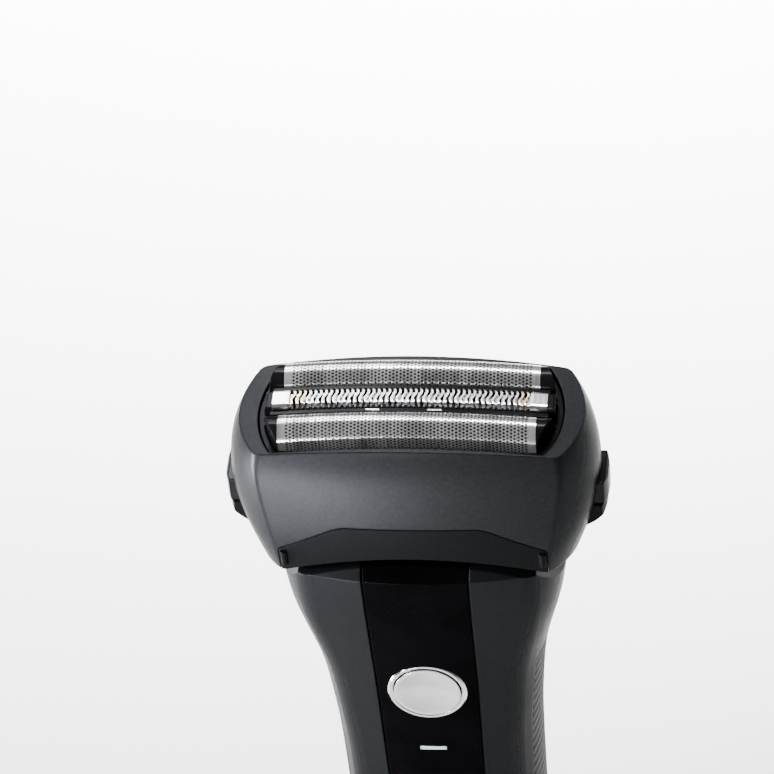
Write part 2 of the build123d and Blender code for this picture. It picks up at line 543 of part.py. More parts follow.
# ---------------------------------------------------------------- front panel
def panel_region(grow, y0=-30.0, y1=-12.7):
    g = grow
    pts = [(-8.2 - g, 20.0 - g), (8.2 + g, 20.0 - g), (9.25 + g, 98.0), (9.6 + g, 140.0), (-9.6 - g, 140.0), (-9.25 - g, 98.0)]
    return prism_y(pts, y0, y1, [4.0, 4.0, 0.5, 0.5, 0.5, 0.5])


panel = (outer - env(PANEL_T)) & panel_region(0.0)
panel = max(panel.solids(), key=lambda q: q.volume)
shell = shell - (panel_region(0.35) - env(PANEL_T + 0.03))


# ---------------------------------------------------------------- rubber grips
def grip_region(grow, sx):
    g = grow
    pts = [(-7.6 - g, 17.0 - g), (8.4 + g, 17.0 - g), (8.4 + g, 106.0 + g), (-7.6 - g, 100.0 + g)]
    return prism_x(pts, 5 if sx > 0 else -40, 40 if sx > 0 else -5, [6.0, 6.0, 4.0, 4.0])


GRIP_T = 1.0
for name, sx in (("left_grip", -1), ("right_grip", 1)):
    g = (outer - env(GRIP_T)) & grip_region(0.0, sx)
    save(name, max(g.solids(), key=lambda q: q.volume))
    shell = shell - (grip_region(0.15, sx) - env(GRIP_T + 0.03))

front = shell & box(-60, 60, -40, SPLIT_Y - 0.06, -10, 200)
rear = shell & box(-60, 60, SPLIT_Y + 0.06, 40, -10, 200)

# ---------------------------------------------------------------- power button, bezel, light
BEZ_R = 7.4
hole = cyl_y(0, BUTTON_Z, -20, -10, BEZ_R + 0.03)
panel = panel - hole
front = front - hole
LED_Z = 80.6
led_slot = box(-2.6, 2.6, -20, -9, LED_Z - 0.6, LED_Z + 0.6)
panel = panel - led_slot
front = front - led_slot
save("front_panel", panel)
front_y = -15.0
bezel = cyl_y(0, BUTTON_Z, -15.35, -12.6, BEZ_R) - cyl_y(0, BUTTON_Z, -20, -10, BUTTON_R + 0.15)
bezel = chamfer([e for e in bezel.edges().filter_by(GeomType.CIRCLE) if e.center().Y < -15.3], 0.3)
save("button_bezel", bezel)
button = cyl_y(0, BUTTON_Z, -15.5, -12.9, BUTTON_R)
button = button - Pos(0, -15.5 - 22.2, BUTTON_Z) * Sphere(22.9)
button = button + cyl_y(0, BUTTON_Z, -13.2, -10.5, 2.4)
save("power_button", button)
save("light_guide", (box(-2.5, 2.5, -16, -9.9, LED_Z - 0.5, LED_Z + 0.5) & env(0.1)) + box(-1.5, 1.5, -10.0, -8.7, LED_Z - 0.45, LED_Z + 0.45))

# ---------------------------------------------------------------- pop-up trimmer on the back
HY, HZ = 13.0, 80.5    # trimmer hinge
TR_X = 13.0
bay = (box(-TR_X - 1.4, TR_X + 1.4, 9.4, 20, HZ - 4.8, 113.9)) & env(0.6)
rear = rear + bay
rear = rear - box(-TR_X - 0.25, TR_X + 0.25, 10.5, 22, HZ, 112.6) - cyl_x(HY, HZ, -TR_X - 0.25, TR_X + 0.25, 3.4)
rear = rear - box(-TR_X - 0.25, TR_X + 0.25, HY, 22, HZ - 1.0, HZ + 1)
flap = (box(-TR_X, TR_X, 11.0, 22, HZ, 108.5) + cyl_x(HY, HZ, -TR_X, TR_X, 2.9)) & outer
rib = [box(-8, 8, 15.2, 18, z - 0.3, z + 0.3) - env(0.35) for z in (88.0, 90.0, 92.0)]
for r in rib:
    flap = flap - (r & outer)
flap = flap - cyl_x(HY, HZ, -TR_X - 1, TR_X + 1, 1.05)
flap = max(flap.solids(), key=lambda q: q.volume)
save("trimmer_housing", flap)
save("trimmer_hinge_pin", cyl_x(HY, HZ, -TR_X - 0.9, TR_X + 0.9, 1.0))
rear = rear - cyl_x(HY, HZ, -TR_X - 0.9, TR_X + 0.9, 1.0)
comb = box(-12.0, 12.0, 14.2, 14.9, 108.5, 112.0)
teeth = [box(-12.0 + 0.65 + k * 1.0, -12.0 + 1.05 + k * 1.0, 13.5, 15.5, 110.4, 113) for k in range(23)]
save("trimmer_comb", comb - Compound(children=teeth))
mv = box(-11.0, 11.0, 13.4, 14.0, 108.6, 111.7)
teeth = [box(-11.0 + 0.5 + k * 1.5, -11.0 + 1.25 + k * 1.5, 13, 15.5, 110.4, 113) for k in range(14)]
save("trimmer_moving_blade", mv - Compound(children=teeth))
# thumb slide
SL_LOW, SL_TOP, SL_TRAVEL = 56.0, 66.0, 5.0
pad = box(-6.5, 6.5, 13, 16.9, SL_LOW, SL_TOP)
pad = fillet([e for e in pad.edges() if e.center().Y > 16.8], 0.7) - env(1.0)
for z in (58.4, 60.0, 61.6, 63.2):
    pad = pad - box(-5, 5, 16.5, 18, z - 0.3, z + 0.3)
pad = max(pad.solids(), key=lambda q: q.volume)
pad = pad + box(-1.4, 1.4, 12.4, 15.5, 59.5, 62.5)
save("trimmer_slide", pad)
slide_cut = box(-6.75, 6.75, 11, 20, SL_LOW - 0.25, SL_TOP + SL_TRAVEL + 0.5) - env(1.1)
rear = rear - slide_cut - box(-1.7, 1.7, 11, 16, 59.2, 62.5 + SL_TRAVEL + 0.3)
rear = max(rear.solids(), key=lambda q: q.volume)
front = max(front.solids(), key=lambda q: q.volume)
save("front_housing", front)
save("rear_housing", rear)

# ---------------------------------------------------------------- bottom cap, socket
cap = outer & box(-40, 40, -40, 40, 0, CAP_Z)
cap = fillet([e for e in cap.edges() if e.center().Z < 0.01], 1.0)
cap = cap - (env(WALL) & box(-40, 40, -40, 40, 2.2, 20))
lip = (env(WALL - 0.1) - env(WALL + 1.1)) & box(-40, 40, -40, 40, 2.0, CAP_Z)
lip = lip + ((env(WALL + 0.06) - env(WALL + 1.1)) & box(-40, 40, -40, 40, CAP_Z - 0.2, 11.0))
cap = cap + lip
cap = cap - box(-5.3, 5.3, -3.1, 3.1, -1, 3)
SCREW_X = 10.4
for sx in (-1, 1):
    cap = cap - cyl_z(sx * SCREW_X, 0, -1, 1.3, 1.9) - cyl_z(sx * SCREW_X, 0, -1, 4, 0.95)
cap = max(cap.solids(), key=lambda q: q.volume)
save("bottom_cap", cap)
sock = box(-7.4, 7.4, -4.4, 4.4, 2.2, 12.0) + box(-5.25, 5.25, -3.05, 3.05, 0.3, 2.3)
sock = sock - box(-4.9, 4.9, -2.7, 2.7, -1, 10.2)
for sx in (-1, 1):
    sock = sock - cyl_z(sx * 2.1, 0, 5, 13, 0.7)
save("charging_socket", sock)
save("charging_pins", [cyl_z(sx * 2.1, 0, 5.2, 13.0, 0.7) for sx in (-1, 1)])
scr = []
for sx in (-1, 1):
    h = cyl_z(sx * SCREW_X, 0, 0.2, 1.3, 1.7)
    h = h - box(sx * SCREW_X - 1.1, sx * SCREW_X + 1.1, -0.22, 0.22, 0, 0.8) - box(sx * SCREW_X - 0.22, sx * SCREW_X + 0.22, -1.1, 1.1, 0, 0.8)
    scr.append(h + cyl_z(sx * SCREW_X, 0, 1.3, 15.0, 0.8))
save("base_screws", scr)

# ---------------------------------------------------------------- chassis and electrics
ch = box(-12.0, 12.0, -6.5, -5.0, 14.0, 119.0)
for sx in (-1, 1):
    ch = ch + box(min(sx * 8.7, sx * 12.0), max(sx * 8.7, sx * 12.0), -6.5, 2.0, 12.2, 16.0)
    for z in (30.0, 108.0):
        ch = ch + cyl_y(sx * 9.0, z, -7.4, -6.4, 1.2)
BAT_Y, BAT_R, BAT0, BAT1 = 3.2, 7.0, 20.0, 70.0
for z in (24.0, 62.0):
    ch = ch + box(-8.6, 8.6, -5.2, BAT_Y, z, z + 3.0)
ch = ch - cyl_z(0, BAT_Y, BAT0 - 1, BAT1 + 1, BAT_R + 0.02)
for sx in (-1, 1):
    ch = ch - cyl_z(sx * SCREW_X, 0, 10, 15.0, 0.8)
ch = max(ch.solids(), key=lambda q: q.volume)
save("chassis", ch)
bat = cyl_z(0, BAT_Y, BAT0, BAT1, BAT_R)
bat = fillet(bat.edges().filter_by(GeomType.CIRCLE), 0.6) + cyl_z(0, BAT_Y, BAT1 - 0.2, BAT1 + 0.8, 2.6)
save("battery_cell", bat)
save("battery_tabs", [box(-2.2, 2.2, -4.99, BAT_Y + 2, BAT1 + 0.8, BAT1 + 1.1), box(-2.2, 2.2, -4.99, BAT_Y + 2, BAT0 - 0.3, BAT0)])
pcb = box(-11.0, 11.0, -8.6, -7.4, 24.0, 112.0)
save("circuit_board", pcb)
save("board_components", [box(-4.5, 4.5, -9.8, -8.6, 44.0, 53.0), box(-7.5, -3.5, -9.6, -8.6, 66.0, 70.0), box(3.0, 8.0, -10.2, -8.6, 62.0, 66.0),
                          box(-8.5, -5.5, -9.4, -8.6, 32.0, 35.0), box(5.0, 9.0, -11.0, -8.6, 34.0, 40.0)])
save("switch_dome", cyl_y(0, BUTTON_Z, -9.7, -8.6, 2.6))

# ---------------------------------------------------------------- gimbal seat in the neck
cup = cyl_z(0, 0, 119.0, 131.0, 11.9) - cyl_z(0, 0, 120.5, 140, 10.8)
cup = cup & cyl_y(0, SADDLE_Z - SADDLE_R, -40, 40, SADDLE_R - 1.6)
for s in (-1, 1):
    y0, y1 = min(s * 7.9, s * 9.8), max(s * 7.9, s * 9.8)
    cup = cup + box(-2.4, 2.4, y0, y1, 120.0, PIVOT_Z) + cyl_y(0, PIVOT_Z, y0, y1, 2.4)
cup = cup - cyl_y(0, PIVOT_Z, -9.8, 9.8, SWING_PIN_R) - cyl_z(0, 0, 118, 121, 3.0)
save("pivot_base", cup)
ring = cyl_z(0, 0, 125, 135, 11.95) - cyl_z(0, 0, 124, 140, 10.6)
ring = ring & cyl_y(0, SADDLE_Z - SADDLE_R, -40, 40, SADDLE_R - 0.15) - cyl_y(0, SADDLE_Z - SADDLE_R, -40, 40, SADDLE_R - 1.6)
ring = max(ring.solids(), key=lambda q: q.volume)
save("neck_boot", ring)

for n in sorted(written):
    print(n, written[n])
print(len(written), "nodes")
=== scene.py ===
import bpy
import math
from mathutils import Matrix, Vector


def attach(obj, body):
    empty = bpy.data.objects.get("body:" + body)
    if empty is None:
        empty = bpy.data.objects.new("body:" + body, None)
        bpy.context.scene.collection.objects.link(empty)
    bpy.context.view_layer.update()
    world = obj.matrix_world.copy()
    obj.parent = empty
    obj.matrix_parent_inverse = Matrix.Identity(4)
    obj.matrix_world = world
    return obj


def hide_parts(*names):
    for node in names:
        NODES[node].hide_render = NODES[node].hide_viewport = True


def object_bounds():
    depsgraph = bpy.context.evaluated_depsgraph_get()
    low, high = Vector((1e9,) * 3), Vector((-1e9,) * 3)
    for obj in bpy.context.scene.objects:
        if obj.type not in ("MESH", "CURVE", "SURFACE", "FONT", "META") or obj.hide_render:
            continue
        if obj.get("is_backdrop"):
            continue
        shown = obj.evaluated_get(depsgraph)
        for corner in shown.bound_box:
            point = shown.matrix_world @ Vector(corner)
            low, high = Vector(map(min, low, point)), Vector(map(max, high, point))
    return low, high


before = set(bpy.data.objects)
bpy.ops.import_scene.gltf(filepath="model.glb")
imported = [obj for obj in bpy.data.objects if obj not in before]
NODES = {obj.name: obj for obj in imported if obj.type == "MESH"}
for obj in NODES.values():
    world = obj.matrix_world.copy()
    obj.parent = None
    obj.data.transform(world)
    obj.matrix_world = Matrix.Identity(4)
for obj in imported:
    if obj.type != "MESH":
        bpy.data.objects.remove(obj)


def as_lists(b):
    try:
        return [[float(v) for v in c] for c in b]
    except TypeError:
        return [float(v) for v in b]


bounds_cad = as_lists(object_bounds())
MM = 0.001

# sizes that the mesh pieces share with the frame, in millimetres
Z_TOP = 160.0
FOIL_RISE, FOIL_R, FOIL_PITCH, FOIL_HALF, FOIL_ARC, FOIL_LEG, FOIL_T = 1.0, 3.0, 6.5, 23.0, 230.0, 3.4, 0.10
SLIT_HALF, SLIT_W, SLIT_ARC, SLIT_PITCH, N_SLIT = 24.6, 4.5, 300.0, 0.95, 46


# ------------------------------------------------------------------ materials
class Mat:
    def __init__(self, name):
        self.m = bpy.data.materials.new(name)
        self.m.use_nodes = True
        self.nt = self.m.node_tree
        self.n = self.nt.nodes
        self.l = self.nt.links
        self.bsdf = next(x for x in self.n if x.type == "BSDF_PRINCIPLED")
        self.co = self.n.new("ShaderNodeTexCoord")

    def set(self, **kw):
        for k, v in kw.items():
            k = k.replace("_", " ").title() if k not in ("IOR",) else k
            names = {"Specular Ior Level": "Specular IOR Level", "Ior": "IOR"}
            self.bsdf.inputs[names.get(k, k)].default_value = v
        return self

    def coords(self, scale=(1.0, 1.0, 1.0)):
        m = self.n.new("ShaderNodeMapping")
        m.inputs["Scale"].default_value = scale
        self.l.new(self.co.outputs["Object"], m.inputs["Vector"])
        return m.outputs["Vector"]

    def noise(self, scale, detail=4.0, rough=0.55, vec=None):
        t = self.n.new("ShaderNodeTexNoise")
        t.inputs["Scale"].default_value = scale
        t.inputs["Detail"].default_value = detail
        t.inputs["Roughness"].default_value = rough
        self.l.new(vec if vec is not None else self.coords(), t.inputs["Vector"])
        return t.outputs["Fac"]

    def ramp(self, fac, lo, hi, c0, c1):
        r = self.n.new("ShaderNodeValToRGB")
        r.color_ramp.elements[0].position = lo
        r.color_ramp.elements[1].position = hi
        r.color_ramp.elements[0].color = (*c0, 1)
        r.color_ramp.elements[1].color = (*c1, 1)
        self.l.new(fac, r.inputs["Fac"])
        return r.outputs["Color"]

    def mix(self, fac, a, b, mode="MIX"):
        m = self.n.new("ShaderNodeMix")
        m.data_type = "RGBA"
        m.blend_type = mode
        for sock, v in ((m.inputs[0], fac), (m.inputs[6], a), (m.inputs[7], b)):
            if isinstance(v, (int, float)):
                sock.default_value = v
            elif isinstance(v, tuple):
                sock.default_value = (*v, 1) if len(v) == 3 else v
            else:
                self.l.new(v, sock)
        return m.outputs[2]

    def range(self, fac, lo, hi):
        m = self.n.new("ShaderNodeMapRange")
        m.inputs["To Min"].default_value = lo
        m.inputs["To Max"].default_value = hi
        self.l.new(fac, m.inputs["Value"])
        return m.outputs["Result"]

    def color(self, sock):
        self.l.new(sock, self.bsdf.inputs["Base Color"])
        return self

    def rough(self, sock):
        self.l.new(sock, self.bsdf.inputs["Roughness"])
        return self

    def finish(self, height=None, strength=0.2, distance=0.0001, bevel=0.0):
        last = None
        if bevel:
            b = self.n.new("ShaderNodeBevel")
            b.samples = 6
            b.inputs["Radius"].default_value = bevel
            last = b.outputs["Normal"]
        if height is not None:
            bump = self.n.new("ShaderNodeBump")
            bump.inputs["Strength"].default_value = strength
            bump.inputs["Distance"].default_value = distance
            self.l.new(height, bump.inputs["Height"])
            if last is not None:
                self.l.new(last, bump.inputs["Normal"])
            last = bump.outputs["Normal"]
        if last is not None:
            self.l.new(last, self.bsdf.inputs["Normal"])
        return self.m


def plastic(name, col, var=0.25, rough=0.45, grain=2600.0, bump=0.35, depth=0.00004, coat=0.0, bevel=0.0003, spec=0.5, mottle=60.0, flake=0.0):
    """Moulded plastic: fine spark-eroded grain, a slow tone change and slightly uneven gloss."""
    m = Mat(name)
    g = m.noise(grain, 3.0, 0.6)
    slow = m.noise(mottle, 3.0, 0.5)
    dark = tuple(c * (1 - var) for c in col)
    light = tuple(min(1, c * (1 + var)) for c in col)
    c = m.ramp(g, 0.3, 0.7, dark, light)
    c = m.mix(m.range(slow, 0.0, 0.35), c, tuple(x * 0.85 for x in col))
    m.color(c)
    m.rough(m.range(slow, rough - 0.04, rough + 0.05))
    m.set(specular_ior_level=spec, coat_weight=coat, coat_roughness=0.08)
    if flake:
        # metallic flake in the paint: reflects evenly, with little rise towards the edges
        m.set(metallic=flake, specular_tint=(0.25, 0.25, 0.25, 1.0))
    return m.finish(g, bump, depth, bevel)


def gloss(name, col, rough=0.1, bevel=0.00025, coat=0.6, spec=0.5, flake=0.0):
    """Polished plastic: faint orange peel and hairline wear in the gloss."""
    m = Mat(name)
    peel = m.noise(350.0, 2.0, 0.4)
    wear = m.noise(1.0, 6.0, 0.7, m.coords((900, 900, 120)))
    m.color(m.ramp(m.noise(90.0, 3.0), 0.35, 0.65, tuple(c * 0.8 for c in col), tuple(c * 1.25 for c in col)))
    m.rough(m.range(wear, rough * 0.6, rough * 1.7))
    m.set(specular_ior_level=spec, coat_weight=coat, coat_roughness=0.04)
    if flake:
        m.set(metallic=flake, specular_tint=(0.25, 0.25, 0.25, 1.0))
    return m.finish(peel, 0.05, 0.00002, bevel)


def metal(name, col, rough=0.25, stretch=(300, 2500, 2500), bump=0.15, var=0.12, bevel=0.00012, depth=0.00001):
    """Metal with drawn or ground lines."""
    m = Mat(name)
    lines = m.noise(1.0, 4.0, 0.6, m.coords(stretch))
    cloud = m.noise(160.0, 4.0, 0.55)
    c = m.ramp(lines, 0.3, 0.7, tuple(x * (1 - var) for x in col), tuple(min(1, x * (1 + var)) for x in col))
    c = m.mix(m.range(cloud, 0.0, 0.3), c, tuple(x * 0.8 for x in col))
    m.color(c)
    m.rough(m.range(lines, max(0.03, rough - 0.07), rough + 0.1))
    m.set(metallic=1.0)
    return m.finish(lines, bump, depth, bevel)


def rubber(name, col, pattern=None):
    m = Mat(name)
    g = m.noise(1800.0, 3.0, 0.6)
    m.color(m.ramp(g, 0.3, 0.7, tuple(c * 0.75 for c in col), tuple(c * 1.3 for c in col)))
    m.set(specular_ior_level=0.10)
    h = g
    strength, depth = 0.3, 0.00003
    if pattern == "ribs":
        w = m.n.new("ShaderNodeTexWave")
        w.wave_type = "BANDS"
        w.bands_direction = "Z"
        w.wave_profile = "SIN"
        w.inputs["Scale"].default_value = 130.0
        w.inputs["Distortion"].default_value = 0.0
        w.inputs["Detail"].default_value = 0.0
        m.l.new(m.coords(), w.inputs["Vector"])
        h = w.outputs["Fac"]
        strength, depth = 0.75, 0.0003
        # rib grooves painted darker and rib crests lighter, following the bump wave: painted shade and painted
        # highlight
        c = m.ramp(h, 0.1, 0.8, tuple(x * 0.55 for x in col), tuple(x * 1.25 for x in col))
        m.color(m.mix(m.range(g, 0.0, 0.35), c, tuple(x * 0.7 for x in col)))
    m.rough(m.range(g, 0.55, 0.72))
    return m.finish(h, strength, depth, 0.0002)


cover_m = plastic("cover_soft_touch", (0.0200, 0.0213, 0.0234), var=0.13, rough=0.36, grain=1500.0, bump=0.30, depth=0.00005, spec=0.08, bevel=0.0004, flake=0.6)
base_m = plastic("lower_shell", (0.0075, 0.0080, 0.0090), var=0.13, rough=0.42, grain=1700.0, bump=0.22, depth=0.00004, spec=0.05, bevel=0.00035, flake=0.5)
housing_m = plastic("housing_satin", (0.0165, 0.0176, 0.0195), var=0.10, rough=0.34, grain=1900.0, bump=0.16, depth=0.00003, spec=0.07, bevel=0.0004, flake=0.6)
frame_m = gloss("cassette_gloss", (0.0110, 0.0110, 0.0120), rough=0.20, coat=0.0, spec=0.05, flake=0.5)
button_m = gloss("button_gloss", (0.0200, 0.0205, 0.0220), rough=0.17, coat=0.0, spec=0.05, bevel=0.0006, flake=0.7)
panel_m = gloss("panel_gloss", (0.0032, 0.0032, 0.0038), rough=0.20, bevel=0.0003, coat=0.0, spec=0.015, flake=0.6)
trimmer_m = gloss("trimmer_gloss", (0.0120, 0.0122, 0.0135), rough=0.24, coat=0.0, spec=0.06, flake=0.5)
m = Mat("foil_satin")
blotch = m.noise(1.0, 3.0, 0.6, m.coords((420, 60, 60)))
fine = m.noise(1.0, 4.0, 0.6, m.coords((500, 2500, 2500)))
c = m.ramp(blotch, 0.36, 0.62, (0.40, 0.40, 0.41), (0.93, 0.93, 0.94))
m.color(m.mix(m.range(fine, 0.0, 0.25), c, (0.62, 0.62, 0.63)))
m.rough(m.range(blotch, 0.30, 0.12))
m.set(metallic=0.84)
foil_m = m.finish(fine, 0.05, 0.00001)
slit_m = metal("slit_blade_ground", (0.74, 0.74, 0.75), rough=0.22, stretch=(2600, 400, 2600), bump=0.08, var=0.06, bevel=0.0)
gold_m = metal("slit_blade_tempered", (0.80, 0.66, 0.42), rough=0.24, stretch=(2600, 400, 2600), bump=0.08, var=0.10, bevel=0.0)
# front and rear inner blades: the same steel as inner_blade_bright, painted near black as painted shade under the foils
shaded_inner_blade_m = metal("inner_blade", (0.020, 0.020, 0.022), rough=0.60, stretch=(300, 2600, 2600), var=0.15)
# inner face and hole walls of the foil: the same steel as the outside, painted near black as painted shade inside the
# head
shaded_foil_inside_m = metal("foil_inner_face", (0.035, 0.035, 0.038), rough=0.55, stretch=(300, 2600, 2600), var=0.15)
inner_bright_m = metal("inner_blade_bright", (0.55, 0.55, 0.56), rough=0.25, stretch=(300, 2600, 2600), var=0.15)
clip_m = metal("clip_bright", (0.85, 0.85, 0.86), rough=0.15)
screw_m = metal("screw_zinc", (0.55, 0.55, 0.57), rough=0.32, stretch=(1500, 1500, 200), var=0.2)
chrome_m = metal("chrome_trim", (0.78, 0.78, 0.80), rough=0.10, stretch=(600, 600, 600), bump=0.03, var=0.04)
zinc_m = metal("die_cast_zinc", (0.46, 0.47, 0.49), rough=0.45, stretch=(700, 700, 700), bump=0.3, var=0.15)
mover_m = metal("mover_aluminium", (0.62, 0.63, 0.65), rough=0.38, stretch=(200, 2200, 900), var=0.12)
magnet_m = metal("magnet_nickel", (0.50, 0.50, 0.52), rough=0.22, stretch=(900, 900, 900), var=0.1)
stator_m = metal("lamination", (0.20, 0.20, 0.215), rough=0.5, stretch=(60, 60, 9000), bump=0.5, var=0.35)
nickel_m = metal("nickel_strip", (0.72, 0.70, 0.64), rough=0.3)
gold_pin_m = metal("plated_pin", (0.83, 0.66, 0.34), rough=0.2, stretch=(900, 900, 200))
carrier_m = plastic("carrier_grey", (0.045, 0.047, 0.052), var=0.16, rough=0.5)
deck_m = plastic("deck_dark", (0.014, 0.014, 0.016), var=0.2, rough=0.5)
chip_m = plastic("chip_epoxy", (0.02, 0.02, 0.02), var=0.3, rough=0.5)
grip_m = rubber("grip_rubber", (0.010, 0.010, 0.011), "ribs")
seal_m = rubber("seal_rubber", (0.008, 0.008, 0.0085))
light_m = gloss("light_window", (0.55, 0.68, 0.78), rough=0.3, coat=0.2)

# copper winding: fine wire turns
m = Mat("copper_winding")
w = m.n.new("ShaderNodeTexWave")
w.wave_type = "BANDS"
w.bands_direction = "Z"
w.inputs["Scale"].default_value = 900.0
w.inputs["Distortion"].default_value = 0.6
m.l.new(m.coords(), w.inputs["Vector"])
m.color(m.ramp(w.outputs["Fac"], 0.1, 0.9, (0.20, 0.06, 0.02), (0.80, 0.36, 0.14)))
m.set(metallic=0.85, roughness=0.32)
copper_m = m.finish(w.outputs["Fac"], 0.6, 0.00006)

# circuit board: solder mask with pale traces and pads
m = Mat("solder_mask")
v = m.n.new("ShaderNodeTexVoronoi")
v.feature = "DISTANCE_TO_EDGE"
v.inputs["Scale"].default_value = 260.0
m.l.new(m.coords((1, 1, 1.6)), v.inputs["Vector"])
m.color(m.ramp(v.outputs["Distance"], 0.04, 0.09, (0.10, 0.34, 0.17), (0.010, 0.085, 0.035)))
m.set(roughness=0.28, coat_weight=0.4)
pcb_m = m.finish(v.outputs["Distance"], 0.2, 0.00004, 0.0001)

# battery sleeve: shrink wrap with slack folds
m = Mat("cell_sleeve")
f = m.noise(1.0, 3.0, 0.5, m.coords((600, 600, 60)))
m.color(m.ramp(f, 0.3, 0.7, (0.015, 0.05, 0.13), (0.03, 0.10, 0.24)))
m.rough(m.range(f, 0.18, 0.34))
cell_m = m.finish(f, 0.25, 0.00006, 0.0003)

LOOK = {
    "head_cover": cover_m, "head_base": base_m, "release_button_left": button_m, "release_button_right": button_m,
    "cassette_frame": frame_m, "cassette_clips": clip_m, "front_foil_holders": frame_m, "rear_foil_holders": frame_m,
    "slit_blade_holders": frame_m, "front_inner_blade": shaded_inner_blade_m, "rear_inner_blade": shaded_inner_blade_m, "centre_inner_blade": inner_bright_m,
    "front_blade_carrier": carrier_m, "rear_blade_carrier": carrier_m, "centre_blade_carrier": carrier_m,
    "drive_deck": deck_m, "drive_seals": seal_m, "deck_screws": screw_m, "outer_mover": mover_m, "inner_mover": mover_m,
    "outer_magnets": magnet_m, "inner_magnets": magnet_m, "motor_stator": stator_m, "motor_coils": copper_m,
    "swing_yoke": zinc_m, "swing_pins": screw_m, "tilt_pins": screw_m, "tilt_bracket": zinc_m, "pivot_base": deck_m,
    "neck_boot": seal_m, "front_housing": housing_m, "rear_housing": housing_m, "front_panel": panel_m,
    "left_grip": grip_m, "right_grip": grip_m, "bottom_cap": base_m, "charging_socket": deck_m, "charging_pins": gold_pin_m,
    "base_screws": screw_m, "power_button": chrome_m, "button_bezel": chrome_m, "light_guide": light_m, "chassis": carrier_m,
    "battery_cell": cell_m, "battery_tabs": nickel_m, "circuit_board": pcb_m, "board_components": chip_m, "switch_dome": nickel_m,
    "trimmer_housing": trimmer_m, "trimmer_hinge_pin": screw_m, "trimmer_comb": inner_bright_m, "trimmer_moving_blade": inner_bright_m,
    "trimmer_slide": trimmer_m, "front_foil": foil_m, "rear_foil": foil_m, "slit_blade": slit_m,
}
for name, o in NODES.items():
    mat = LOOK.get(name, base_m)
    if o.data.materials:
        for i in range(len(o.data.materials)):
            o.data.materials[i] = mat
    else:
        o.data.materials.append(mat)


# ------------------------------------------------------------------ mesh pieces
def make(name, verts, faces, mats, normals=None, mat_index=None, smooth=True):
    """A mesh object from millimetre vertices."""
    me = bpy.data.meshes.new(name)
    me.from_pydata([(x * MM, y * MM, z * MM) for x, y, z in verts], [], faces)
    for mt in mats:
        me.materials.append(mt)
    if mat_index is not None:
        me.polygons.foreach_set("material_index", mat_index)
    me.polygons.foreach_set("use_smooth", [smooth] * len(me.polygons))
    me.update()
    if normals is not None:
        me.normals_split_custom_set_from_vertices(normals)
    o = bpy.data.objects.new(name, me)
    bpy.context.scene.collection.objects.link(o)
    return o


def on_arch(x, s, yc, r, rise_top, arc):
    """Point and outward normal on an arched sheet: s runs round the arch from its crown, x along it."""
    half = math.pi / 2 * r
    if abs(s) <= half:
        a = s / r
        dy, dz = r * math.sin(a), r * math.cos(a)
        ny, nz = math.sin(a), math.cos(a)
    else:
        sg = 1 if s > 0 else -1
        dy, dz = sg * r, -(abs(s) - half)
        ny, nz = float(sg), 0.0
    # lengthwise arc: turn about an axis along Y far below
    zc = rise_top - FOIL_R
    rad = (zc + dz) - (rise_top - arc)
    t = math.asin(x / rad)
    return (x, yc + dy, rise_top - arc + rad * math.cos(t)), (nz * math.sin(t), ny, nz * math.cos(t))


